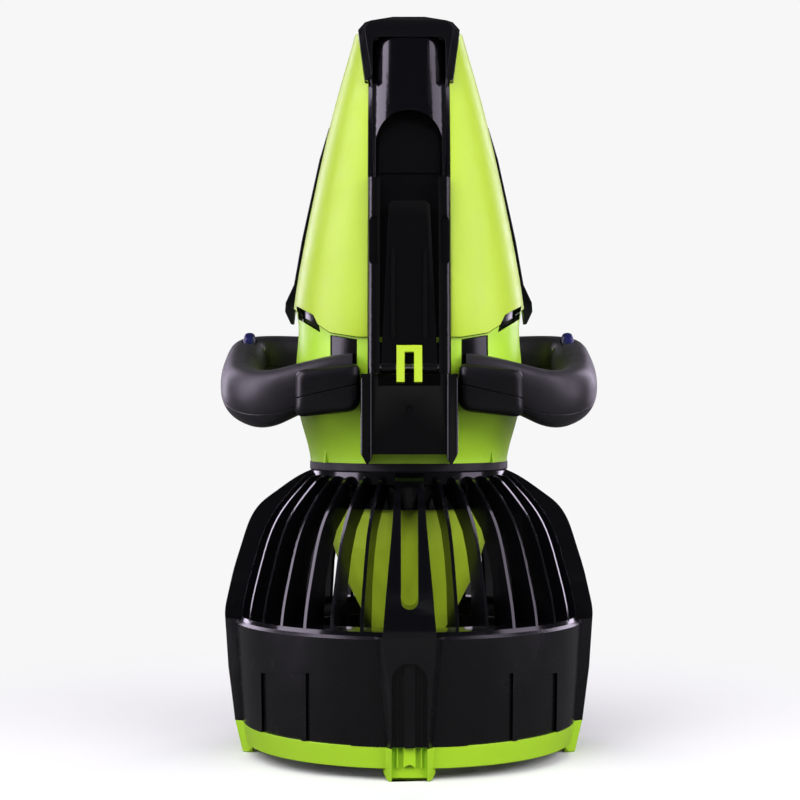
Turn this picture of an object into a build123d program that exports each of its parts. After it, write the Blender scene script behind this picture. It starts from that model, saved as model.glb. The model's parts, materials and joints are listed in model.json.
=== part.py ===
from build123d import *
import os
from math import asin, cos, degrees, radians, sin

# Underwater scooter standing on its stern, nose up. Millimetres, +Z towards the nose,
# -Y is the latch side, the origin is on the propeller axis at floor level.

# ---- driving dimensions -------------------------------------------------------------
HEIGHT = 650.0
GRIP_X = 150.0          # centre line of the grips
WALL = 3.0              # moulded wall thickness
GAP = 0.4               # clearance between parts that move apart

SEAM_Z = 119.0          # joint between the thrust duct and the intake cage
RIM_TOP = 28.0
NECK_Z = 250.0          # top of the cage
WAIST_Z = 258.0         # bottom of the green waist
SPINE_X = 35.0          # half width of the spine
COVER_R = 26.0          # rounding of the spine cover's long corners
HOUSING_Z = 334.0       # bottom of the latch housing
SCOOP_Z = 501.0         # housing to spine cover
COVER_Z = 626.6         # spine cover to nose cap

# Body sections, as height, half width, half depth and corner radius.
WAIST = ((WAIST_Z, 87.4, 87.4, 82), (276, 90.8, 91, 82), (300, 97, 98, 82),
         (330, 100, 104, 82), (396, 102, 106, 82))
NOSE = ((360, 104, 107, 82), (393, 101.5, 105.5, 82), (454, 91.5, 95, 74),
        (527, 76.5, 79, 62), (583, 63, 62, 50), (617, 53.5, 49, 40), (637, 48, 41, 34))
SPINE_LOWER = ((HOUSING_Z, 121.0), (SCOOP_Z, 96.0))
SPINE_UPPER = ((SCOOP_Z, 96.0), (545, 85.5), (590, 71.0), (COVER_Z, 55.5))

# Nose cap sections, as height, half width and half depth.
CAP = ((584, 37.2, 74), (617, 42, 62), (635.6, 44.5, 51.5), (644.3, 38.7, 42), (HEIGHT, 20, 29))
CAP_FACET = (6.0, 9.0)  # width and depth of the bevel along the cap's corners
CAP_ARM_X = 31.8        # inner side of the cap's arms

PARTING = ((0, 365), (44, 365), (67, 369), (106, 395))      # nose to waist, as x and z

SHAFT_R = 6.0
BEARING_R = 11.0
PROP_R = 112.0
DUCT_R = 116.0
BATTERY_R = 72.0

BLADE_COUNT = 36
BLADE_T = 3.0
KEEL_ANGLES = (0, 90, 180, 270)

HANDLE_Z = 332.5
HANDLE_TILT = 14.0
GRIP_HALF = (17.5, 22.0)        # half width in the loop's plane and half height across it
HANDLE_SEAM = -6.0
TRIGGER_X = 142.5
TRIGGER_PIVOT = (52.0, 14.0)    # along and above the loop's plane

PIVOT_Y = -115.5                # latch pin
PIVOT_Z = 340.0
PIN_R = 2.5
LEVER_T = 9.0


# ---- helpers ------------------------------------------------------------------------
def front_prism(points, near, far):
    """Extrude an outline drawn as x and z from y = near to y = far."""
    outline = make_face(Polyline([(x, near, z) for x, z in points], close=True))
    return extrude(outline, amount=far - near, dir=(0, 1, 0))


def turned(points):
    """Revolve an outline drawn as radius and z about the propeller axis."""
    outline = make_face(Polyline([(r, 0, z) for r, z in points], close=True))
    return revolve(outline, Axis.Z)


def rod(radius, low, high, x=0, y=0):
    """A cylinder along Z."""
    return Pos(x, y, (low + high) / 2) * Cylinder(radius, high - low)


def tube(outer, inner, low, high):
    return rod(outer, low, high) - rod(inner, low - 1, high + 1)


def block(x0, x1, y0, y1, z0, z1):
    return Pos((x0 + x1) / 2, (y0 + y1) / 2, (z0 + z1) / 2) * Box(x1 - x0, y1 - y0, z1 - z0)


def body_loft(sections, inset=0.0):
    """A smooth body through rounded rectangles, drawn in all round by inset."""
    outlines = [
        Pos(0, 0, z) * RectangleRounded(2 * (w - inset), 2 * (d - inset), r - inset)
        for z, w, d, r in sections
    ]
    return loft(outlines)


def spine_loft(sections, radius):
    outlines = [Pos(0, 0, z) * RectangleRounded(2 * SPINE_X, 2 * d, radius) for z, d in sections]
    return loft(outlines)


def mirrored(shape):
    return mirror(shape, about=Plane.YZ)


def around(shape, angles=KEEL_ANGLES):
    """Copies of a front piece, turned about the propeller axis."""
    return [Rot(0, 0, a) * shape for a in angles]


def group(shapes):
    return Compound(children=[s for shape in shapes for s in shape.solids()])


# ---- stern: duct, rim, guard ----------------------------------------------------------
def keel_block(levels, root=144.0):
    """A keel at the front: a tapering prism with 45 degree flanks."""
    outlines = []
    for z, face, half in levels:
        flank = (face - root) * 0.55
        pts = [(-half - flank, -root), (-half, -face), (half, -face), (half + flank, -root)]
        outlines.append(make_face(Polyline([(x, y, z) for x, y in pts], close=True)))
    return loft(outlines, ruled=True)


KEEL_LOW = ((0, 147.5, 15.6), (RIM_TOP, 154.2, 15.8))
KEEL_MID = ((RIM_TOP, 154.2, 15.8), (76, 160.0, 18.5), (SEAM_Z, 162.5, 22.0))


def keel_channel():
    """The rounded channel in a keel, with a centre rib and two thin ribs."""
    slot = block(-14.5, 14.5, -175, -140, -1, 84)
    slot += Pos(0, -157.5, 84) * Rot(90, 0, 0) * Cylinder(14.5, 35)
    cut = slot & keel_depth(7)
    cut -= block(-4.5, 4.5, -175, -140, -1, 100) - keel_depth(2.5)
    for x in (-10, 10):
        cut -= block(x - 0.7, x + 0.7, -175, -140, -1, 100) - keel_depth(4.5)
    return cut


def keel_depth(depth):
    """Everything in front of a plane that lies a depth behind a keel's face."""
    (z0, y0, _), (z1, y1, _) = KEEL_MID[0], KEEL_MID[-1]
    side = [(-175, z0 - 30), (depth - y0, z0 - 30), (depth - y0, z0), (depth - y1, z1), (-175, z1)]
    outline = make_face(Polyline([(-30, y, z) for y, z in side], close=True))
    return extrude(outline, amount=60, dir=(1, 0, 0))


def thrust_duct():
    skin = turned([
        (152.6, SEAM_Z), (155.0, SEAM_Z - 2.5), (154.6, SEAM_Z - 10), (152.5, 76), (148.3, RIM_TOP),
        (144.0, RIM_TOP), (147.5, 76), (149.5, SEAM_Z - 8), (130, 109), (130, SEAM_Z),
    ])
    keels = around(keel_block(KEEL_MID, root=145.0))
    bore = turned([(0, 20), (144.6, 20), (149.0, SEAM_Z - 7), (0, SEAM_Z - 7)])
    duct = skin + [k - bore for k in keels]
    duct -= around(keel_channel())
    duct -= panel_recesses()
    return duct


def propeller_tunnel():
    """Inner tube round the propeller, with a flared mouth."""
    return turned([
        (DUCT_R, 34), (DUCT_R + WALL, 34), (DUCT_R + WALL, 105), (129.8, 109), (129.8, SEAM_Z),
        (127, SEAM_Z), (122, 114), (DUCT_R, 108),
    ])


def panel_recesses():
    """Shallow moulded panels, mirrored left and right, front and rear."""
    depth = 2.2
    skin = turned([
        (158, SEAM_Z), (158, 20), (147.3 - depth, 20), (152.4 - depth, 76), (154 - depth, SEAM_Z),
    ])
    outer = front_prism([(-47, 24), (-63, 82), (-86, 86), (-86, 24)], -170, -20)
    inner = front_prism([(-90, 24), (-90, 85), (-126, 80), (-126, 24)], -170, -20)
    left = (outer & skin) + (inner & skin)
    front = left + mirrored(left)
    return front + mirror(front, about=Plane.XZ)


def tail_rim():
    ring = turned([(148.1, RIM_TOP), (145.0, 10), (141, 9), (136.5, 10.5), (137.5, RIM_TOP)])
    foot = keel_block(KEEL_LOW, root=138.0)
    lift = front_prism([(18.2, -1), (18.4, 0), (21, 4.6), (25, 7.6), (40, 9.5), (40, -1)], -170, -120)
    foot -= lift
    foot -= mirrored(lift)
    rim = ring + around(foot)
    return rim - around(block(-14.5, 14.5, -170, -138.5, -1, RIM_TOP + 1))


def keel_insert():
    """The ribbed green plug at the stern end of each keel channel."""
    plate = block(-14.4, 14.4, -144, -138.6, 2.3, RIM_TOP - 0.2)
    bump = front_prism([(-5, 11), (5, 11), (5, RIM_TOP - 0.2), (-5, RIM_TOP - 0.2)], -147.5, -140)
    bump -= Pos(0, -145, 8.5) * Rot(90, 0, 0) * Cylinder(5, 20)
    ribs = [block(x - 0.7, x + 0.7, -146.5, -140, 11, RIM_TOP - 0.2) for x in (-10, 10)]
    return plate + [bump] + ribs


def rear_guard():
    """Grille across the stern: rings and spokes in one moulding."""
    low, high = 14.0, 20.0
    rings = [tube(r, r - 3.2, low, high) for r in (134.5, 108, 82, 56, 30)]
    spoke = block(-1.8, 1.8, -132, -28, low, high)
    spokes = around(spoke, [k * 30 for k in range(12)])
    return rings[0] + rings[1:] + spokes


# ---- intake cage ---------------------------------------------------------------------
BLADE_OUTER = ((152.0, SEAM_Z + 1), (148.5, 142), (142.5, 165), (136, 187), (127, 208),
               (113, 227), (95, 245))
KEEL_OUTER = ((162.5, SEAM_Z), (162.2, 131), (159.9, 142), (155.4, 162), (148.5, 185),
              (137.1, 214), (131.4, 221), (120, 230), (100.5, 243.5), (88, 249.6))
RIB_INNER = ((75, 249.6), (75, 232), (94, 218), (109, 202), (118, 182), (124, 160), (128, SEAM_Z))


def radial_plate(outer, thickness):
    """A plate in the plane through the axis and -Y, with a smooth outer edge."""
    edge = Spline([(0, -r, z) for r, z in outer])
    back = Polyline([(0, -r, z) for r, z in (outer[-1],) + RIB_INNER + (outer[0],)])
    return extrude(make_face([edge, back]), amount=thickness / 2, both=True)


def keel_rib():
    """The upper keel: two thick ribs joined below a slot with a round end."""
    rib = radial_plate(KEEL_OUTER, 60)
    front = [(-22, SEAM_Z), (-19.5, 150), (-15, 200), (-12, 235), (-12, 251),
             (12, 251), (12, 235), (15, 200), (19.5, 150), (22, SEAM_Z)]
    rib &= front_prism(front, -180, -60)
    slot = block(-7, 7, -180, -60, 149, 239)
    slot += Pos(0, -120, 149) * Rot(90, 0, 0) * Cylinder(7, 120)
    return rib - slot


def intake_cage():
    step = 360 / BLADE_COUNT
    angles = [step * (k + 0.5) for k in range(BLADE_COUNT)]
    angles = [a for a in angles if min(a % 90, 90 - a % 90) > step]
    base = turned([(152.4, SEAM_Z), (151.6, SEAM_Z + 3.5), (146, SEAM_Z + 4.5), (130, SEAM_Z + 4.5),
                   (127, SEAM_Z)])
    top = tube(87.4, 74.0, 240, NECK_Z)
    collar = turned([(72.4, 218), (76, 218), (76, 234), (80, 241), (72.4, 241)])
    keels = around(keel_rib())
    open_part = tube(180, 20, 152, 232)
    lips = [lip for keel in keels for lip in (keel & open_part).solids()]
    frame = base + [top, collar] + [keel - open_part for keel in keels]
    frame -= tube(74.05, 20, 232, 251)
    frame -= around(rod(2.6, 225, 251, y=-80), screw_angles())
    blades = [b - frame for b in around(radial_plate(BLADE_OUTER, BLADE_T), angles)]
    return frame, group([max(b.solids(), key=lambda solid: solid.volume) for b in blades] + lips)


def screw_angles():
    return [30 + 60 * k for k in range(6)]


# ---- drive train -----------------------------------------------------------------------
def tail_cone():
    outer = [(72, NECK_Z), (72, 218), (68.5, 186), (64.5, 173), (57.4, 154), (41.2, 123),
             (31, 105), (25, 90)]
    inner = [(BEARING_R, 90), (BEARING_R, 106), (28, 112), (38, 124), (54, 155), (61, 174),
             (65.3, 187), (69, 218), (69, NECK_Z)]
    return turned(outer + inner)


def motor_can():
    can = tube(38, 35, 165, 246) + tube(66, 20, 242, 246)
    return can + tube(36, BEARING_R, 232, 242)


def field_magnets():
    ring = tube(34.9, 31, 180, 228)
    split = block(-40, 40, -4, 4, 170, 240)
    return group([ring - split])


def bearing(low):
    return tube(BEARING_R, SHAFT_R + 0.03, low, low + 8)


def propeller():
    """Three twisted blades on a hub."""
    hub = turned([(SHAFT_R, 50), (22, 50), (24.5, 56), (24.5, 86), (22, 88), (SHAFT_R, 88)])
    stations = ((16, 50, 7, 52), (62, 62, 5, 34), (96, 52, 3.6, 24), (PROP_R, 26, 2.4, 20))
    outlines = []
    for r, chord, thick, pitch in stations:
        place = Plane(origin=(r, 0, 70), x_dir=(0, cos(radians(pitch)), sin(radians(pitch))),
                      z_dir=(1, 0, 0))
        outlines.append(place * Ellipse(chord / 2, thick / 2))
    blade = loft(outlines) - rod(SHAFT_R + 4, 40, 100)
    rotor = hub + around(blade, (0, 120, 240))
    return rotor - drive_pin()


def drive_pin():
    return Pos(0, 0, 78) * Rot(0, 90, 0) * Cylinder(2, 36)


def prop_nut():
    return turned([(0, 36), (8, 38), (14, 42), (17, 49.8), (0, 49.8)]) - rod(SHAFT_R, 44, 60)


# ---- waist and hull ----------------------------------------------------------------------
def above_parting(lift=0.0, top=700):
    half = [(x, z + lift) for x, z in PARTING] + [(180, PARTING[-1][1] + lift)]
    left = [(-x, z) for x, z in reversed(half[1:])]
    return front_prism(left + half + [(180, top), (-180, top)], -150, 150)


def waist_window(margin=0.0):
    """Black inlay beside the catch block, one of four."""
    pts = [(44 + margin, 318 + margin), (67 - margin, 318 + margin), (67 - margin, 367.5 - margin),
           (44 + margin, 363.5 - margin)]
    return front_prism(pts, -140, -60)


def four_corners(shape):
    front = [shape, mirrored(shape)]
    return front + [mirror(s, about=Plane.XZ) for s in front]


def waist_shell():
    shell = body_loft(WAIST) - body_loft(WAIST, inset=WALL)
    shell -= above_parting()
    shell -= four_corners(waist_window())
    vent = front_prism([(76, 370), (97, 383), (97, 392), (80, 392)], -140, 140)
    shell -= vent
    shell -= mirrored(vent)
    angle = degrees(asin(71 / 90))
    gusset = make_face(Polyline([(0, -86, WAIST_Z), (0, -93, WAIST_Z), (0, -90.5, 276),
                                 (0, -88, 276)], close=True))
    gusset = extrude(gusset, amount=1.2, both=True)
    return shell + around(gusset, (angle, -angle, 180 + angle, 180 - angle))


def waist_inlays():
    skin = body_loft(WAIST, inset=1.0) - body_loft(WAIST, inset=WALL + 0.6)
    return group([skin & s for s in four_corners(waist_window(0.3))])


def vent_liner():
    """Dark tray behind the vents at the top of the waist."""
    skin = body_loft(WAIST, inset=WALL + 1.5) - body_loft(WAIST, inset=WALL + 4)
    tray = skin & block(70, 100, -140, 140, 356, 397)
    return group([tray, mirrored(tray)])


def neck_collar():
    ring = turned([(70, NECK_Z), (87.0, NECK_Z), (88.4, NECK_Z + 1.4), (88.4, WAIST_Z), (70, WAIST_Z)])
    return ring - around(rod(2.6, 240, 270, y=-80), screw_angles())


def collar_screws():
    screw = rod(2.5, 228, 262, y=-80) + rod(4.5, 262, 265, y=-80)
    return group(around(screw, screw_angles()))


def hull_bulkhead():
    plate = rod(83, WAIST_Z, 262) + tube(BATTERY_R + 3, BATTERY_R + 0.1, 262, 276)
    plate -= around(rod(2.6, 250, 270, y=-80), screw_angles())
    return plate


def battery_housing():
    return tube(BATTERY_R, BATTERY_R - WALL, 262, 470) + tube(BATTERY_R + 3, BATTERY_R - WALL, 466, 470)


def battery_lid():
    lid = rod(BATTERY_R + 3, 471.5, 477) + rod(BATTERY_R - WALL - 0.3, 460, 471.5)
    grip = block(-30, 30, -4, 4, 477, 489)
    return lid + (grip - block(-22, 22, -5, 5, 476, 484))


def battery_pack():
    pack = Pos(0, 0, 375) * Box(94, 94, 160)
    return fillet(pack.edges().filter_by(Axis.Z), 6)


def controller_board():
    board = block(-48, 48, -34, 34, 268, 269.6)
    parts = [block(-36, -12, -20, 12, 269.6, 281), block(4, 22, -24, -8, 269.6, 278),
             block(4, 34, 2, 20, 269.6, 275)]
    feet = [rod(3, 262, 268, x, y) for x in (-42, 42) for y in (-28, 28)]
    return board + parts + feet


# ---- latch ---------------------------------------------------------------------------------
def catch_block():
    core = front_prism([(-40.5, 270), (-40.5, HOUSING_Z), (40.5, HOUSING_Z), (40.5, 270),
                        (34, 267), (-34, 267)], -125, -60)
    rail = front_prism([(31, 264), (35, WAIST_Z), (40.5, 268), (40.5, 329), (37, HOUSING_Z),
                        (31, HOUSING_Z)], -128.5, -60)
    rail = fillet(rail.edges().filter_by(Axis.Z).sort_by(Axis.Y)[:2], 2.5)
    catch = core + [rail, mirrored(rail)]
    catch -= body_loft(WAIST)
    catch -= block(-26, 26, -130, -108, 324, 340)
    return catch - rod_along_y(2.5, -130, -112, 0, 305)


def rod_along_y(radius, near, far, x, z):
    return Pos(x, (near + far) / 2, z) * Rot(90, 0, 0) * Cylinder(radius, far - near)


def catch_screw():
    return rod_along_y(2.5, -124.2, -112, 0, 305)


def spine():
    """Front and rear spine before it is cut into its mouldings."""
    lower = spine_loft(SPINE_LOWER, 6)
    upper = spine_loft(SPINE_UPPER, COVER_R)
    waist = body_loft(WAIST, inset=-GAP) & block(-150, 150, -150, 150, 300, PARTING[0][1] + GAP)
    inner = body_loft(NOSE, inset=12)
    return lower - waist - inner, upper - inner


def lever_plane():
    """Plane on the front of the closed lever, through the latch pin's height."""
    (z0, d0), (z1, d1) = SPINE_LOWER
    slope = (d0 - d1) / (z1 - z0)
    front = -(d0 - slope * (PIVOT_Z - z0))
    length = (1 + slope * slope) ** 0.5
    return Plane(origin=(0, front, PIVOT_Z), x_dir=(1, 0, 0), z_dir=(0, -1 / length, slope / length))


def rod_along_x(radius, half, y, z, x=0.0):
    return Pos(x, y, z) * Rot(0, 90, 0) * Cylinder(radius, 2 * half)


def latch_housing(lower, upper):
    plane = lever_plane()
    housing = lower & block(-60, 60, -140, 0, HOUSING_Z + GAP, SCOOP_Z)
    channel = plane * Pos(0, 80, -5.75) * Box(49.6, 190, 11.6)
    housing -= channel
    housing -= rod_along_x(6.2, 24.8, PIVOT_Y, PIVOT_Z)
    for x in (-30, 30):
        housing -= plane * Pos(x, 108, 0) * extrude(SlotOverall(42, 7, rotation=90), amount=2, both=True)
    scoop = (upper & block(-60, 60, -140, 0, SCOOP_Z, 562)) & scoop_prism(0.0)
    scoop &= spine_back(14)
    housing += scoop
    hollow = plane * Pos(0, 150, -8) * Box(49.6, 40, 16)
    return housing - hollow - latch_pin()


def spine_back(depth):
    """Everything deeper than a depth behind the front of the spine cover."""
    sections = [(z, d - depth) for z, d in SPINE_UPPER]
    return spine_loft(sections, 12)


def scoop_prism(margin):
    """Arched finger scoop above the lever."""
    half = 28.5 - margin
    arch = Pos(0, -80, 560 - half) * Rot(90, 0, 0) * Cylinder(half, 140)
    return arch + block(-half, half, -150, -10, 480, 560 - half)


def spine_cover(upper):
    cover = upper & block(-60, 60, -140, 0, SCOOP_Z + 0.2, COVER_Z)
    cover -= scoop_prism(0.0)
    strip = block(CAP_ARM_X, SPINE_X, -140, 0, SCOOP_Z + 0.2, 583.6)
    strips = strip + mirrored(strip)
    flanges = strips & (body_loft(NOSE, inset=-0.8) - body_loft(NOSE, inset=12))
    proud = spine_loft([(z, d + 0.8) for z, d in SPINE_UPPER], COVER_R)
    ribs = [block(x - 0.8, x + 0.8, -130, -20, 565, COVER_Z - 3) & proud for x in (-17, 17)]
    cover += [rib - body_loft(NOSE) for rib in ribs]
    return (cover - strips + flanges) & within_cap()


def within_cap():
    """The room that the cap leaves for the spine."""
    return cap_window(0.3) + block(-60, 60, -140, 140, 300, 583.6)


def rear_spine(lower, upper):
    rear = lower & block(-60, 60, 0, 140, 366, SCOOP_Z)
    rear += upper & block(-60, 60, 0, 140, SCOOP_Z, COVER_Z) & within_cap()
    for x in (-22, 0, 22):
        rear -= block(x - 1.5, x + 1.5, 20, 140, 380, 560) - spine_core(1.2)
    return rear


def spine_core(depth):
    lower = spine_loft([(z, d - depth) for z, d in SPINE_LOWER], 6)
    upper = spine_loft([(z, d - depth) for z, d in SPINE_UPPER], 12)
    return lower + upper


def latch_lever():
    plane = lever_plane()
    outline = Polyline([(-23.5, 2), (-17.4, 138.5), (-14, 142), (14, 142), (17.4, 138.5), (23.5, 2),
                        (11.4, 2), (11.4, 19.5), (-11.4, 19.5), (-11.4, 2)], close=True)
    lever = plane * extrude(make_face(outline), amount=-LEVER_T)
    for x in (-13.5, 13.5):
        lever += plane * Pos(x, 62, 0) * extrude(SlotOverall(76, 3, rotation=90), amount=1.6)
    for x in (-17.5, 17.5):
        lever += rod_along_x(5.2, 5.9, PIVOT_Y, PIVOT_Z, x)
    return lever - rod_along_x(PIN_R + 0.06, 40, PIVOT_Y, PIVOT_Z)


def lock_clip():
    """Green U on the latch pin; its top bar locks over the lever."""
    plane = lever_plane()
    clip = plane * Pos(0, 2.5, -3) * Box(21.4, 31, 8)
    clip -= plane * Pos(0, -3, -3) * Box(8, 31, 20)
    for x in (-7.35, 7.35):
        clip += rod_along_x(4.6, 3.35, PIVOT_Y, PIVOT_Z, x)
    return clip - rod_along_x(PIN_R + 0.06, 40, PIVOT_Y, PIVOT_Z)


def latch_pin():
    return rod_along_x(PIN_R, 31, PIVOT_Y, PIVOT_Z)


# ---- nose ------------------------------------------------------------------------------------
def cap_loft(sections, inset=0.0):
    """Faceted body through eight-sided sections."""
    across, back = CAP_FACET
    outlines = []
    for z, w, d in sections:
        w, d = w - inset, d - inset
        quarter = [(w - across, -d), (w, back - d)]
        right = quarter + [(x, -y) for x, y in reversed(quarter)]
        points = right + [(-x, y) for x, y in reversed(right)]
        outlines.append(Pos(0, 0, z) * make_face(Polyline(points, close=True)))
    return loft(outlines, ruled=True)


def cap_window(margin=0.0):
    """The opening between the cap's arms, which the spine fills."""
    width, top = 2 * (CAP_ARM_X - margin), COVER_Z + GAP - margin
    outline = Plane.XZ * Pos(0, top - 40) * RectangleRounded(width, 80, 7)
    return extrude(outline, amount=100, both=True)


def nose_cap():
    cap = cap_loft(CAP) - cap_window() - cap_loft(CAP[:3], inset=4)
    arm_end = front_prism([(30, 580), (30, 593.5), (35.5, 587.3), (38, 588.4), (39, 580)], -90, 90)
    return cap - arm_end - mirrored(arm_end)


def nose_shell():
    shell = body_loft(NOSE) - body_loft(NOSE, inset=WALL)
    shell &= above_parting(GAP)
    shell &= block(SPINE_X + 0.2, 150, -140, 140, 300, NOSE[-1][0])
    shell -= front_prism([(44.9, 660), (44.9, 635.6), (38.2, 587), (0, 587), (0, 660)], -90, 90)
    vent = front_prism([(98, 394), (97, 387), (76, 373), (82, 385)], -140, 140)
    return shell - vent


def side_blade():
    outline = [(60, 560), (71.5, 556), (80, 527), (95.6, 454), (102.4, 415), (109.8, 399),
               (110.4, 391), (105.4, 380), (60, 380)]
    blade = front_prism(outline, -12, 12)
    side = [(-2, 560), (-9, 470), (-11, 400), (-7, 380), (7, 380), (11, 400), (9, 470), (2, 560)]
    face = make_face(Polyline([(50, y, z) for y, z in side], close=True))
    blade &= extrude(face, amount=70, dir=(1, 0, 0))
    return blade - body_loft(NOSE)


def nose_float():
    return body_loft(((492, 72, 72, 56), (540, 62, 60, 44), (583, 48, 44, 32)))


# ---- handles -----------------------------------------------------------------------------------
def handle_plane():
    tilt = radians(HANDLE_TILT)
    return Plane(origin=(0, 0, HANDLE_Z), x_dir=(1, 0, 0), z_dir=(0, -sin(tilt), cos(tilt)))


def handle_sweep(inset):
    """The closed loop's bar, as an oval swept round the hand."""
    plane = handle_plane()
    points = [(50, -98), (118, -84), (GRIP_X - 3, -50), (GRIP_X, 56), (126, 76), (70, 76)]
    path = plane * FilletPolyline(*points, radius=30)
    start = Plane(origin=path @ 0, x_dir=plane.z_dir, z_dir=path % 0)
    section = start * Ellipse(GRIP_HALF[1] - inset, GRIP_HALF[0] - inset)
    return sweep(section, path=path)


def handle_half(low, high):
    plane = handle_plane()
    bar = handle_sweep(0) - handle_sweep(3.6)
    bar -= body_loft(WAIST)
    bar &= plane * block(0, 200, -140, 140, low, high)
    bar -= clamp_body()
    bar -= plane * block(TRIGGER_X - 6.2, TRIGGER_X + 6.2, 6, 60, 2, 40)
    return bar - trigger_pin()


def clamp_body():
    body = block(42, 97, -122, -80, 297, 343)
    return fillet(body.edges().filter_by(Axis.Y) + body.edges().sort_by(Axis.Y)[:4], 7)


def handle_clamp():
    """Block that ties the front end of the loop to the waist."""
    clamp = clamp_body() - body_loft(WAIST) - clamp_screws()
    clamp -= block(30, 43.2, -140, -60, 290, 350)
    seam = handle_plane() * block(30, 110, -140, -60, HANDLE_SEAM - 0.4, HANDLE_SEAM + 0.4)
    return clamp - (seam - fillet_core())


def fillet_core():
    return block(43, 96, -121.2, -60, 297.8, 342.2)


def clamp_screws():
    return rod_along_y(2.5, -112, -86, 74, 309) + rod_along_y(2.5, -112, -86, 74, 331)


def trigger():
    plane = handle_plane()
    v, w = TRIGGER_PIVOT
    profile = [(10, 9), (10, 23), (16, 27), (26, 29.5), (38, 31.5), (47, 30), (v + 5, w + 2), (v, 9)]
    outline = make_face(Polyline([(TRIGGER_X - 5.5, y, z) for y, z in profile], close=True))
    paddle = extrude(outline, amount=11, dir=(1, 0, 0))
    paddle += Pos(TRIGGER_X, v, w) * Rot(0, 90, 0) * Cylinder(5.5, 11)
    paddle -= Pos(TRIGGER_X, v, w) * Rot(0, 90, 0) * Cylinder(2.06, 20)
    paddle -= Pos(TRIGGER_X + 3, v, w) * Rot(0, 90, 0) * Cylinder(4.9, 6)
    return plane * paddle


def trigger_pin():
    v, w = TRIGGER_PIVOT
    return handle_plane() * (Pos(TRIGGER_X + 1, v, w) * Rot(0, 90, 0) * Cylinder(2.0, 22))


def trigger_spring():
    v, w = TRIGGER_PIVOT
    coil = Helix(pitch=1.1, height=3.9, radius=3.5)
    start = Plane(origin=coil @ 0, z_dir=coil % 0)
    wire = sweep(start * Circle(0.4), path=coil)
    return handle_plane() * (Pos(TRIGGER_X + 1.1, v, w) * Rot(0, 90, 0) * wire)


def trigger_switch():
    plane = handle_plane()
    body = block(GRIP_X - 7, GRIP_X + 3, 14, 34, -12, -3)
    return plane * (body + block(TRIGGER_X - 2, TRIGGER_X + 2, 18, 22, -3, -1))


# ---- assembly ------------------------------------------------------------------------------------
def build():
    lower, upper = spine()
    cage, ribs = intake_cage()
    nodes = {
        "thrust_duct": thrust_duct(),
        "tail_rim": tail_rim(),
        "keel_inserts": group(around(keel_insert())),
        "rear_guard": rear_guard(),
        "intake_cage": cage,
        "cage_ribs": ribs,
        "propeller_tunnel": propeller_tunnel(),
        "neck_collar": neck_collar(),
        "collar_screws": collar_screws(),
        "tail_cone": tail_cone(),
        "motor_can": motor_can(),
        "field_magnets": field_magnets(),
        "upper_bearing": bearing(234),
        "tail_bearing": bearing(98),
        "shaft_seal": tube(BEARING_R, SHAFT_R + 0.06, 91, 96),
        "armature": tube(30, SHAFT_R, 182, 226),
        "drive_shaft": rod(SHAFT_R, 44, 241) - drive_pin(),
        "propeller": propeller(),
        "drive_pin": drive_pin(),
        "prop_nut": prop_nut(),
        "waist_shell": waist_shell(),
        "waist_inlays": waist_inlays(),
        "vent_trays": vent_liner(),
        "hull_bulkhead": hull_bulkhead(),
        "controller_board": controller_board(),
        "battery_housing": battery_housing(),
        "battery_lid_seal": tube(BATTERY_R + 2, BATTERY_R - 1, 470, 471.5),
        "battery_lid": battery_lid(),
        "battery_pack": battery_pack(),
        "catch_block": catch_block(),
        "catch_screw": catch_screw(),
        "latch_housing": latch_housing(lower, upper),
        "latch_lever": latch_lever(),
        "latch_pin": latch_pin(),
        "lock_clip": lock_clip(),
        "spine_cover": spine_cover(upper),
        "rear_spine": rear_spine(lower, upper),
        "nose_cap": nose_cap(),
        "nose_float": nose_float(),
    }
    sided = {
        "nose_shell": nose_shell(),
        "side_blade": side_blade(),
        "handle_upper": handle_half(HANDLE_SEAM, 40),
        "handle_lower": handle_half(-40, HANDLE_SEAM),
        "handle_clamp": handle_clamp(),
        "clamp_screws": group([clamp_screws()]),
        "trigger": trigger(),
        "trigger_pin": trigger_pin(),
        "trigger_spring": trigger_spring(),
        "trigger_switch": trigger_switch(),
    }
    for name, shape in sided.items():
        nodes[name + "_right"] = shape
        nodes[name + "_left"] = mirrored(shape)
    return nodes


os.makedirs("parts", exist_ok=True)
for node, shape in build().items():
    export_step(shape, "parts/" + node + ".step")
    print(node, len(shape.solids()), round(shape.volume / 1000, 1))
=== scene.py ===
import json
from math import asin, cos, exp, pi, radians, sin

import bmesh
import bpy
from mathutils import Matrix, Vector


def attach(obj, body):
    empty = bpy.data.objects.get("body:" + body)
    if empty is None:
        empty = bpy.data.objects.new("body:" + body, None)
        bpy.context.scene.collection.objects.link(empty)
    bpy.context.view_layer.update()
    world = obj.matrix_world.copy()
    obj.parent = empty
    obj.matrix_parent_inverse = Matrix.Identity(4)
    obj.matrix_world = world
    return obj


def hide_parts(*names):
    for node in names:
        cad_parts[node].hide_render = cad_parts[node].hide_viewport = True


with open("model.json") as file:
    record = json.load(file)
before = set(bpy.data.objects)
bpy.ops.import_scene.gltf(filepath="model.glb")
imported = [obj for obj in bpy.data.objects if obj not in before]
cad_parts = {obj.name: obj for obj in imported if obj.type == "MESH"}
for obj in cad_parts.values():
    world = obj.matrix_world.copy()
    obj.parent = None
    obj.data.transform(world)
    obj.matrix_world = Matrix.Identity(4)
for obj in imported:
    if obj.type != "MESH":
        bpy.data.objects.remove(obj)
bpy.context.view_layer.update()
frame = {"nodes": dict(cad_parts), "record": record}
nodes = frame["nodes"]

# Lengths are in millimetres where they are multiplied by MM, and otherwise in metres.
MM = 0.001

# ---- camera, lights, floor ---------------------------------------------------------------
CAMERA_PLACE = (-0.0078, -1.674, 0.3122)
CAMERA_LENS = 84.0
CAMERA_REACH = 100

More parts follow.
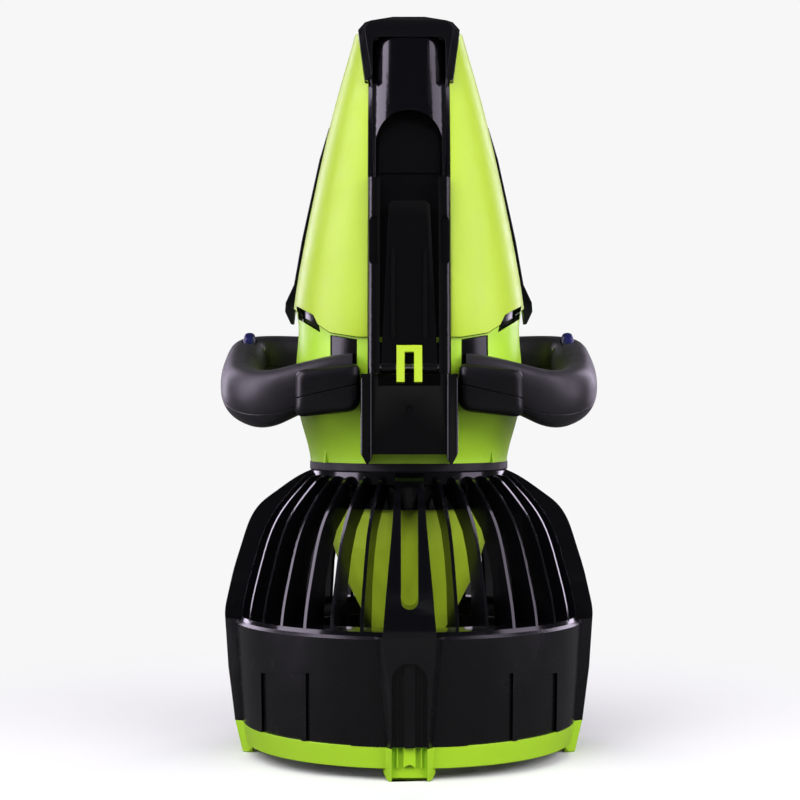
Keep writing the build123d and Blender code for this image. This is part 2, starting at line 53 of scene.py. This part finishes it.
WHITE = (1, 1, 1)
VIOLET = (1.0, 0.88, 1.12)
LAMP_TARGET = (0, 0, 0.33)
# Rectangular lamps: name, place, width, height, power, role, colour. A fill shows in no
# reflection, and a gloss lamp only in reflections.
LAMPS = (
    ("gloss_left", (-1.5, -0.35, 1.00), 1.1, 2.5, 36, "gloss", VIOLET),
    ("gloss_right", (1.5, -0.35, 1.00), 1.0, 2.5, 18, "gloss", VIOLET),
    ("side_left", (-1.4, -0.8, 0.9), 0.8, 0.8, 9, "fill", WHITE),
    ("side_right", (1.4, -0.8, 0.9), 0.8, 0.8, 14, "fill", WHITE),
    ("front_left", (-1.1, -1.9, 1.5), 1.0, 1.0, 18, "fill", WHITE),
    ("front_right", (1.3, -1.8, 1.4), 1.0, 1.0, 20, "fill", WHITE),
    ("low_left", (-1.3, -1.2, 0.20), 0.7, 0.7, 8, "fill", WHITE),
    ("low_right", (1.3, -1.2, 0.20), 0.7, 0.7, 7, "fill", WHITE),
    ("back_left", (-1.2, 1.3, 0.8), 0.6, 1.4, 10, "both", VIOLET),
    ("back_right", (1.2, 1.3, 0.8), 0.6, 1.4, 10, "both", VIOLET),
)
SKY_STRENGTH = 1.5
SKY_SPREAD = radians(50)
SKY_TILT = (radians(28), radians(-12), 0)
ROOM_COLOUR = (0.94, 0.92, 1.0)
ROOM_STRENGTH = 0.035
BACKDROP = 0.93

FLOOR_HALF = 40
FLOOR_Z = -0.0003
FLOOR_COLOUR = (0.86, 0.86, 0.87)
FLOOR_ROUGHNESS = 0.7
# The floor's grey as the object sees it, and where it starts and ends fading into the backdrop.
FLOOR_BOUNCE = 0.11
FADE_START, FADE_END = 0.15, 0.75


def make_camera():
    camera = bpy.data.objects.new("camera", bpy.data.cameras.new("camera"))
    camera.data.lens = CAMERA_LENS
    camera.data.clip_end = CAMERA_REACH
    camera.location = CAMERA_PLACE
    camera.rotation_euler = (pi / 2, 0, 0)
    bpy.context.scene.collection.objects.link(camera)
    bpy.context.scene.camera = camera


def area_light(name, place, width, height, power, role, colour):
    light = bpy.data.lights.new(name, "AREA")
    light.shape = "RECTANGLE"
    light.size = width
    light.size_y = height
    light.energy = power
    light.color = colour
    lamp = bpy.data.objects.new(name, light)
    lamp.location = place
    aim = Vector(LAMP_TARGET) - Vector(place)
    lamp.rotation_euler = aim.to_track_quat("-Z", "Y").to_euler()
    lamp.visible_glossy = role != "fill"
    lamp.visible_diffuse = role != "gloss"
    bpy.context.scene.collection.objects.link(lamp)


def make_studio():
    for lamp_row in LAMPS:
        area_light(*lamp_row)
    sun = bpy.data.lights.new("sky_panel", "SUN")
    sun.energy = SKY_STRENGTH
    sun.angle = SKY_SPREAD
    lamp = bpy.data.objects.new("sky_panel", sun)
    lamp.rotation_euler = SKY_TILT
    lamp.visible_glossy = False
    bpy.context.scene.collection.objects.link(lamp)

    world = bpy.data.worlds.new("studio")
    world.use_nodes = True
    tree = world.node_tree
    room = tree.nodes["Background"]
    room.inputs["Color"].default_value = (*ROOM_COLOUR, 1)
    room.inputs["Strength"].default_value = ROOM_STRENGTH
    backdrop = tree.nodes.new("ShaderNodeBackground")
    backdrop.inputs["Color"].default_value = (*WHITE, 1)
    backdrop.inputs["Strength"].default_value = BACKDROP
    path = tree.nodes.new("ShaderNodeLightPath")
    blend = blend_shaders(tree, path.outputs["Is Camera Ray"], room, backdrop)
    tree.links.new(blend.outputs[0], tree.nodes["World Output"].inputs["Surface"])
    bpy.context.scene.world = world
    bpy.context.scene.view_settings.view_transform = "Standard"


def make_floor():
    """Pale floor that takes the object's shadow and fades into the backdrop further out."""
    mesh = bpy.data.meshes.new("floor")
    bm = bmesh.new()
    bmesh.ops.create_grid(bm, x_segments=2, y_segments=2, size=FLOOR_HALF)
    bm.to_mesh(mesh)
    bm.free()
    floor = bpy.data.objects.new("floor", mesh)
    floor.location.z = FLOOR_Z
    bpy.context.scene.collection.objects.link(floor)
    material, shader, tree = principled("pale_floor", FLOOR_COLOUR, FLOOR_ROUGHNESS)
    links = tree.links
    coords = tree.nodes.new("ShaderNodeTexCoord")
    distance = tree.nodes.new("ShaderNodeVectorMath")
    distance.operation = "LENGTH"
    links.new(coords.outputs["Object"], distance.inputs[0])
    fade = ramp(tree, distance.outputs["Value"], FADE_START, FADE_END, 0, 1)
    path = tree.nodes.new("ShaderNodeLightPath")
    seen = tree.nodes.new("ShaderNodeMath")
    seen.operation = "MULTIPLY"
    links.new(fade, seen.inputs[0])
    links.new(path.outputs["Is Camera Ray"], seen.inputs[1])
    glow = tree.nodes.new("ShaderNodeEmission")
    glow.inputs["Color"].default_value = (*WHITE, 1)
    glow.inputs["Strength"].default_value = BACKDROP
    faded = blend_shaders(tree, seen.outputs[0], shader, glow)
    bounce = tree.nodes.new("ShaderNodeBsdfDiffuse")
    bounce.inputs["Color"].default_value = (FLOOR_BOUNCE, FLOOR_BOUNCE, FLOOR_BOUNCE, 1)
    surface = blend_shaders(tree, path.outputs["Is Camera Ray"], bounce, faded)
    links.new(surface.outputs[0], tree.nodes["Material Output"].inputs["Surface"])
    mesh.materials.append(material)


# ---- materials ---------------------------------------------------------------------------
# What each material slot looks like. Grain is in bumps per metre, spread is how far the colour
# clouds go from the mean, and wear is how far rubbed edges go towards white.
LOOKS = {
    # Painted shade: this lime is about a fifth darker than the waist and rim copy below, to offset the
    # extra sun on the upward-tilted nose; that copy is also a little greener.
    "lime_shell": dict(colour=(0.40, 0.56, 0.027), roughness=0.36, grain=500, grain_depth=0.03,
                       spread=0.02, wear=0.2),
    "lime_greener_lit_copy": dict(colour=(0.40, 0.68, 0.026), roughness=0.38, grain=600, grain_depth=0.04,
                      spread=0.02, wear=0.2),
    "lime_insert": dict(colour=(0.36, 0.62, 0.02), roughness=0.35, spread=0.04),
    "duct_black": dict(colour=(0.0030, 0.0028, 0.0035), roughness=0.24, grain=1400,
                       grain_depth=0.10),
    "gloss_black": dict(colour=(0.002, 0.002, 0.003), roughness=0.14, grain=500, grain_depth=0.03,
                        coat=0.2),
    "satin_black": dict(colour=(0.0022, 0.0022, 0.0026), roughness=0.18, grain=1500,
                        grain_depth=0.08),
    "collar_satin": dict(colour=(0.008, 0.0075, 0.010), roughness=0.60, grain=1500,
                         grain_depth=0.10),
    "clamp_black": dict(colour=(0.0035, 0.0033, 0.0042), roughness=0.38, grain=1500,
                        grain_depth=0.10),
    "soft_grip": dict(colour=(0.012, 0.0105, 0.014), roughness=0.40, grain=1800, grain_depth=0.16,
                      sheen=0.05),
    "trigger_navy": dict(colour=(0.010, 0.011, 0.075), roughness=0.28),
    "seal_rubber": dict(colour=(0.02, 0.02, 0.02), roughness=0.6),
    "motor_steel": dict(colour=(0.5, 0.5, 0.52), roughness=0.35, metallic=1.0),
    "magnet": dict(colour=(0.07, 0.07, 0.08), roughness=0.5),
    "stainless": dict(colour=(0.62, 0.62, 0.64), roughness=0.25, metallic=1.0),
    "prop_plastic": dict(colour=(0.02, 0.02, 0.023), roughness=0.4, grain=1200, grain_depth=0.12),
    "electronics": dict(colour=(0.02, 0.12, 0.06), roughness=0.45),
    "battery_wrap": dict(colour=(0.04, 0.10, 0.22), roughness=0.3),
    "float_foam": dict(colour=(0.85, 0.83, 0.76), roughness=0.9, grain=300, grain_depth=0.5),
}
# Nodes that look different from the rest of their material slot: the collar and screw in their own satin,
# and the waist and rim in a lime copy that is greener and, as painted light, lighter than the rest.
OWN_FINISH_AND_LIT_COPY = {"waist_shell": "lime_greener_lit_copy", "tail_rim": "lime_greener_lit_copy", "neck_collar": "collar_satin",
              "catch_screw": "satin_black"}

CLOUD_SCALE = 14
CLOUD_LOW, CLOUD_HIGH = 0.35, 0.65
GLOSS_SCALE = 60
GLOSS_DETAIL = 5
GLOSS_LOW, GLOSS_HIGH = 0.3, 0.7
# Roughness in the smoothest and the roughest patches, as parts of the material's own.
SMOOTHEST, ROUGHEST = 0.85, 1.2
# Pointiness at which an edge starts to look rubbed, and at which it is rubbed right down.
RUB_START, RUB_FULL = 0.53, 0.62
RUB_LIFT, RUB_GREY = 0.35, 0.02
GRAIN_DETAIL = 2
GRAIN_HEIGHT = 0.0005
COAT_ROUGHNESS = 0.08
SHEEN_ROUGHNESS = 0.4

# Edge radii of the CAD nodes.
EDGE_WIDTH = 0.7
OWN_EDGE = {"trigger_spring_left": 0, "trigger_spring_right": 0, "propeller": 0.3, "rear_guard": 0.6,
            "cage_ribs": 1.25, "thrust_duct": 1.1, "catch_block": 2.2, "latch_lever": 1.0}
EDGE_ANGLE = 30
EDGE_SEGMENTS = 2
WELD_DISTANCE = 0.00001
FLAT_ANGLE = radians(0.4)
NORMAL_WEIGHT = 80


def principled(name, colour, roughness):
    material = bpy.data.materials.new(name)
    material.use_nodes = True
    tree = material.node_tree
    shader = tree.nodes["Principled BSDF"]
    shader.inputs["Base Color"].default_value = (*colour, 1)
    shader.inputs["Roughness"].default_value = roughness
    return material, shader, tree


def blend_shaders(tree, factor, first, second):
    node = tree.nodes.new("ShaderNodeMixShader")
    tree.links.new(factor, node.inputs[0])
    tree.links.new(first.outputs[0], node.inputs[1])
    tree.links.new(second.outputs[0], node.inputs[2])
    return node


def noise(tree, scale, detail=3.0):
    coords = tree.nodes.new("ShaderNodeTexCoord")
    node = tree.nodes.new("ShaderNodeTexNoise")
    node.inputs["Scale"].default_value = scale
    node.inputs["Detail"].default_value = detail
    tree.links.new(coords.outputs["Object"], node.inputs["Vector"])
    return node.outputs["Fac"]


def ramp(tree, source, low, high, out_low, out_high):
    node = tree.nodes.new("ShaderNodeMapRange")
    for key, value in (("From Min", low), ("From Max", high), ("To Min", out_low), ("To Max", out_high)):
        node.inputs[key].default_value = value
    tree.links.new(source, node.inputs["Value"])
    return node.outputs["Result"]


def mix(tree, factor, a, b):
    """Mix two colours, each a tuple or another node's output."""
    node = tree.nodes.new("ShaderNodeMix")
    node.data_type = "RGBA"
    tree.links.new(factor, node.inputs["Factor"])
    for key, colour in (("A", a), ("B", b)):
        socket = [s for s in node.inputs if s.name == key and s.type == "RGBA"][0]
        if isinstance(colour, tuple):
            socket.default_value = (*colour, 1)
        else:
            tree.links.new(colour, socket)
    return [s for s in node.outputs if s.type == "RGBA"][0]


def moulded(name, colour, roughness, grain=900, grain_depth=0.05, spread=0.06, wear=0.12, coat=0.0,
            metallic=0.0, sheen=0.0):
    """Surface with a cloudy colour, fine grain, uneven gloss and rubbed edges."""
    material, shader, tree = principled(name, colour, roughness)
    links = tree.links
    dark = tuple(c * (1 - spread) for c in colour)
    light = tuple(min(1, c * (1 + spread)) for c in colour)
    cloud = ramp(tree, noise(tree, CLOUD_SCALE), CLOUD_LOW, CLOUD_HIGH, 0, 1)
    base = mix(tree, cloud, dark, light)
    rubbed = tuple(min(1, c + RUB_LIFT * (1 - c) * wear + RUB_GREY * wear) for c in colour)
    geometry = tree.nodes.new("ShaderNodeNewGeometry")
    edge = ramp(tree, geometry.outputs["Pointiness"], RUB_START, RUB_FULL, 0, wear)
    links.new(mix(tree, edge, base, rubbed), shader.inputs["Base Color"])
    patches = noise(tree, GLOSS_SCALE, GLOSS_DETAIL)
    gloss = ramp(tree, patches, GLOSS_LOW, GLOSS_HIGH, roughness * SMOOTHEST, min(1, roughness * ROUGHEST))
    links.new(gloss, shader.inputs["Roughness"])
    bump = tree.nodes.new("ShaderNodeBump")
    bump.inputs["Strength"].default_value = grain_depth
    bump.inputs["Distance"].default_value = GRAIN_HEIGHT
    links.new(noise(tree, grain, GRAIN_DETAIL), bump.inputs["Height"])
    links.new(bump.outputs["Normal"], shader.inputs["Normal"])
    shader.inputs["Coat Weight"].default_value = coat
    shader.inputs["Coat Roughness"].default_value = COAT_ROUGHNESS
    shader.inputs["Metallic"].default_value = metallic
    shader.inputs["Sheen Weight"].default_value = sheen
    shader.inputs["Sheen Roughness"].default_value = SHEEN_ROUGHNESS
    return material


def dress_nodes(materials):
    """Give each CAD node its material, smooth shading and small edge radii."""
    for part in frame["record"]["subparts"]:
        obj = nodes[part["node"]]
        obj.data.materials.clear()
        obj.data.materials.append(materials[OWN_FINISH_AND_LIT_COPY.get(part["node"], part["material_slot"])])
        obj.data.shade_smooth()
        weld = obj.modifiers.new("weld", "WELD")
        weld.merge_threshold = WELD_DISTANCE
        width = OWN_EDGE.get(part["node"], EDGE_WIDTH)
        if width:
            flat = obj.modifiers.new("flat_faces", "DECIMATE")
            flat.decimate_type = "DISSOLVE"
            flat.angle_limit = FLAT_ANGLE
            edge_radius(obj, width, EDGE_ANGLE)


# ---- mesh helpers ------------------------------------------------------------------------
LINE_CUTS = 4


def add_piece(name, bm, material, body, replaced):
    """Turn a bmesh into a smooth piece that rides on a body and stands for CAD nodes."""
    bmesh.ops.recalc_face_normals(bm, faces=bm.faces)
    mesh = bpy.data.meshes.new(name)
    bm.to_mesh(mesh)
    bm.free()
    mesh.materials.append(material)
    mesh.shade_smooth()
    obj = bpy.data.objects.new(name, mesh)
    bpy.context.scene.collection.objects.link(obj)
    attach(obj, body)
    if replaced:
        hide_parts(*replaced)
    return obj


def edge_radius(obj, width, angle):
    """Round the edges sharper than an angle in degrees, and keep the flat faces looking flat."""
    bevel = obj.modifiers.new("edge_radius", "BEVEL")
    bevel.width = width * MM
    bevel.segments = EDGE_SEGMENTS
    bevel.limit_method = "ANGLE"
    bevel.angle_limit = radians(angle)
    weighted = obj.modifiers.new("flat_shading", "WEIGHTED_NORMAL")
    weighted.weight = NORMAL_WEIGHT


def skin_rings(bm, rings):
    """Quads between rings of points, with a fan at each end."""
    rows = [[bm.verts.new(p) for p in ring] for ring in rings]
    count = len(rows[0])
    for low, high in zip(rows, rows[1:]):
        for k in range(count):
            bm.faces.new((low[k], low[(k + 1) % count], high[(k + 1) % count], high[k]))
    for row in (rows[0], rows[-1]):
        middle = bm.verts.new(sum((v.co for v in row), Vector()) / count)
        for k in range(count):
            bm.faces.new((row[k], row[(k + 1) % count], middle))


def smooth_line(points):
    """Corner cutting: a smooth curve that follows a list of control values."""
    points = [Vector(p) for p in points]
    for _ in range(LINE_CUTS):
        cut = [points[0]]
        for a, b in zip(points, points[1:]):
            cut += [a * 0.75 + b * 0.25, a * 0.25 + b * 0.75]
        points = cut + [points[-1]]
    return points


def rounded_outline(corners, radii, steps):
    """Closed outline with arcs at its corners, as 2-D points."""
    points = []
    count = len(corners)
    for k, (corner, radius) in enumerate(zip(corners, radii)):
        here = Vector(corner)
        before = (Vector(corners[k - 1]) - here).normalized()
        after = (Vector(corners[(k + 1) % count]) - here).normalized()
        half = before.angle(after) / 2
        reach = radius * cos(half) / sin(half)
        start, end = here + before * reach, here + after * reach
        for i in range(steps + 1):
            t = i / steps
            points.append(start * (1 - t) ** 2 + here * 2 * t * (1 - t) + end * t ** 2)
    return points


def rectangle(middle, half_width, near, far):
    left, right = middle - half_width, middle + half_width
    return [(left, near), (right, near), (right, far), (left, far)]


def subtract(obj, cutter_bm):
    """Cut a bmesh out of an object and keep the result as its mesh."""
    mesh = bpy.data.meshes.new("cutter")
    cutter_bm.to_mesh(mesh)
    cutter_bm.free()
    cutter = bpy.data.objects.new("cutter", mesh)
    bpy.context.scene.collection.objects.link(cutter)
    modifier = obj.modifiers.new("cut", "BOOLEAN")
    modifier.operation = "DIFFERENCE"
    modifier.solver = "EXACT"
    modifier.object = cutter
    graph = bpy.context.evaluated_depsgraph_get()
    result = bpy.data.meshes.new_from_object(obj.evaluated_get(graph))
    obj.modifiers.clear()
    obj.data = result
    bpy.data.objects.remove(cutter)


# ---- handles -----------------------------------------------------------------------------
HANDLE_Z = 332.5
HANDLE_TILT = radians(14)
# Control values along the bar: outwards, along and above the loop's plane, then half width,
# half height and the height of the parting seam.
HANDLE_LINE = (
    ((48, -96, 24), (13, 19, -9)), ((66, -96, 22), (14, 19.5, -11)), ((90, -93, 13), (16, 22, -12)),
    ((121, -88, 0), (18, 25.5, -10)), ((144, -64, 0), (18, 23.5, -9)), ((149.5, -20, 1), (17.5, 22.5, -6)),
    ((149.5, 30, 2), (17.5, 22.5, -3)), ((149.5, 62, 1), (17.5, 22, -3)), ((128, 80, 0), (17, 21, -4)),
    ((84, 76, 0), (17, 20, -4)),
)
HANDLE_POINTS = 56
OVAL_POWER = 2.2
HANDLE_SHARP = radians(45)
SEAM_LIMIT = 0.95
SEAM_DEPTH = 1.1
SEAM_WIDTH = 0.26
SEAM_STEP = 0.012
TRIGGER_X = 146.0
# The pocket that the trigger stands in.
POCKET_HALF = 6.2
POCKET_ENDS = (34, 60)
POCKET_HEIGHTS = (3, 40)
POCKET_CORNER = 3
# The trigger's visible nub: height above the loop's plane, near and far end, half width.
NUB = ((9, 36, 56, 5.3), (22, 36, 56, 5.3), (25, 37, 56, 5.2), (27.5, 39, 55, 4.7), (29.2, 42, 53, 3.6),
       (30, 45, 51, 2.0))
NUB_ROUNDING = 0.85


def handle_place(side, u, v, w):
    """Place in the object's frame of a point that is given in the loop's own plane."""
    return Vector((side * u, v * cos(HANDLE_TILT) - w * sin(HANDLE_TILT),
                   HANDLE_Z + v * sin(HANDLE_TILT) + w * cos(HANDLE_TILT))) * MM


def handle_section(half_width, half_height, seam):
    """Oval with a fine groove where the two half shells meet."""
    angles = [2 * pi * k / HANDLE_POINTS for k in range(HANDLE_POINTS)]
    from_level = asin(max(-SEAM_LIMIT, min(SEAM_LIMIT, seam / half_height)))
    for centre in (from_level, pi - from_level):
        angles += [(centre + k * SEAM_STEP) % (2 * pi) for k in range(-4, 5)]
    points = []
    for angle in sorted(angles):
        c, s = cos(angle), sin(angle)
        bulge = 1 / (abs(c) ** OVAL_POWER + abs(s) ** OVAL_POWER) ** (1 / OVAL_POWER)
        x, y = half_width * c * bulge, half_height * s * bulge
        depth = SEAM_DEPTH * exp(-((s * half_height - seam) / SEAM_WIDTH) ** 2)
        scale = 1 - depth / (x * x + y * y) ** 0.5
        points.append((x * scale, y * scale))
    return points


def make_handle(side, name, material):
    places = smooth_line([p for p, _ in HANDLE_LINE])
    shapes = smooth_line([s for _, s in HANDLE_LINE])
    rings = []
    for k, (place, shape) in enumerate(zip(places, shapes)):
        ahead = places[min(k + 1, len(places) - 1)] - places[max(k - 1, 0)]
        across = Vector((ahead.y, -ahead.x, 0)).normalized()
        ring = []
        for x, y in handle_section(*shape):
            point = place + across * x + Vector((0, 0, y))
            ring.append(handle_place(side, *point))
        rings.append(ring)
    bm = bmesh.new()
    skin_rings(bm, rings)
    handle = add_piece("handle_" + name, bm, material, "hull",
                       ("handle_upper_" + name, "handle_lower_" + name))
    pocket = bmesh.new()
    outline = rounded_outline(rectangle(TRIGGER_X, POCKET_HALF, *POCKET_ENDS), [POCKET_CORNER] * 4, 4)
    skin_rings(pocket, [[handle_place(side, u, v, w) for u, v in outline] for w in POCKET_HEIGHTS])
    bmesh.ops.recalc_face_normals(pocket, faces=pocket.faces)
    subtract(handle, pocket)
    handle.data.set_sharp_from_angle(angle=HANDLE_SHARP)


def make_trigger(side, name, material):
    """Rounded nub that the thumb presses, standing out of the handle's pocket."""
    rings = []
    for w, near, far, half in NUB:
        outline = rounded_outline(rectangle(TRIGGER_X, half, near, far), [half * NUB_ROUNDING] * 4, 6)
        rings.append([handle_place(side, u, v, w) for u, v in outline])
    bm = bmesh.new()
    skin_rings(bm, rings)
    add_piece("thumb_nub_" + name, bm, material, "trigger_" + name,
              ("trigger_" + name,))


# ---- clamps ------------------------------------------------------------------------------
# The clamp's front outline, as x and z on the right-hand side.
CLAMP_CORNERS = ((41.5, 303), (41.5, 343.5), (95.5, 337), (96, 297.5))
CLAMP_RADII = (13, 7, 9, 8)
CLAMP_BACK = -84.0
CLAMP_FRONT = -112.0
# Rounding of the front edge, in this many steps, and the half sizes that it shrinks.
CLAMP_ROUND = 9
CLAMP_STEPS = 7
CLAMP_HALF = (27, 21)
# The front face swells a little towards its middle.
CLAMP_CROWN = 0.9
CROWN_RINGS = (0.85, 0.6, 0.3)
# The parting line between the two halves.
PARTING_SLOPE = 0.23
PARTING_X, PARTING_Z = 70, 319.5
PARTING_HALF_GAP = 0.3
CLAMP_EDGE = 0.5
CLAMP_SHARP = 50


def clamp_rings(side):
    outline = rounded_outline(CLAMP_CORNERS, CLAMP_RADII, 8)
    middle = sum(outline, Vector((0, 0))) / len(outline)
    levels = [(0, CLAMP_BACK)]
    for angle in [k * pi / 2 / CLAMP_STEPS for k in range(CLAMP_STEPS + 1)]:
        levels.append((CLAMP_ROUND * (1 - cos(angle)), CLAMP_FRONT - CLAMP_ROUND * sin(angle)))
    rings = []
    for inset, y in levels:
        ring = []
        for point in outline:
            away = point - middle
            shrunk = Vector((away.x * (1 - inset / CLAMP_HALF[0]), away.y * (1 - inset / CLAMP_HALF[1])))
            ring.append(Vector((side * (middle.x + shrunk.x), y, middle.y + shrunk.y)) * MM)
        rings.append(ring)
    face = rings[-1]
    centre = sum(face, Vector()) / len(face)
    for factor in CROWN_RINGS:
        swell = Vector((0, (1 - factor) * CLAMP_CROWN * MM, 0))
        rings.append([centre + (p - centre) * factor - swell for p in face])
    return rings


def make_clamp(side, name, material):
    """Rounded block that ties the handle to the waist, in two halves with a parting line."""
    rings = clamp_rings(side)
    for part, keep in (("upper", 1), ("lower", -1)):
        bm = bmesh.new()
        skin_rings(bm, rings)
        normal = Vector((side * PARTING_SLOPE, 0, 1)).normalized()
        plane = Vector((side * PARTING_X * MM, 0, (PARTING_Z + keep * PARTING_HALF_GAP) * MM))
        bmesh.ops.bisect_plane(bm, geom=bm.verts[:] + bm.edges[:] + bm.faces[:], plane_co=plane,
                               plane_no=normal, clear_outer=keep < 0, clear_inner=keep > 0)
        bmesh.ops.holes_fill(bm, edges=[e for e in bm.edges if e.is_boundary])
        piece = add_piece("clamp_%s_%s" % (part, name), bm, material, "hull",
                          ("handle_clamp_" + name,) if keep > 0 else ())
        piece.data.set_sharp_from_angle(angle=radians(CLAMP_SHARP))
        edge_radius(piece, CLAMP_EDGE, CLAMP_SHARP)


make_camera()
make_studio()
make_floor()
materials = {name: moulded(name, **look) for name, look in LOOKS.items()}
dress_nodes(materials)
for side, name in ((-1, "left"), (1, "right")):
    make_handle(side, name, materials["soft_grip"])
    make_trigger(side, name, materials["trigger_navy"])
    make_clamp(side, name, materials["clamp_black"])
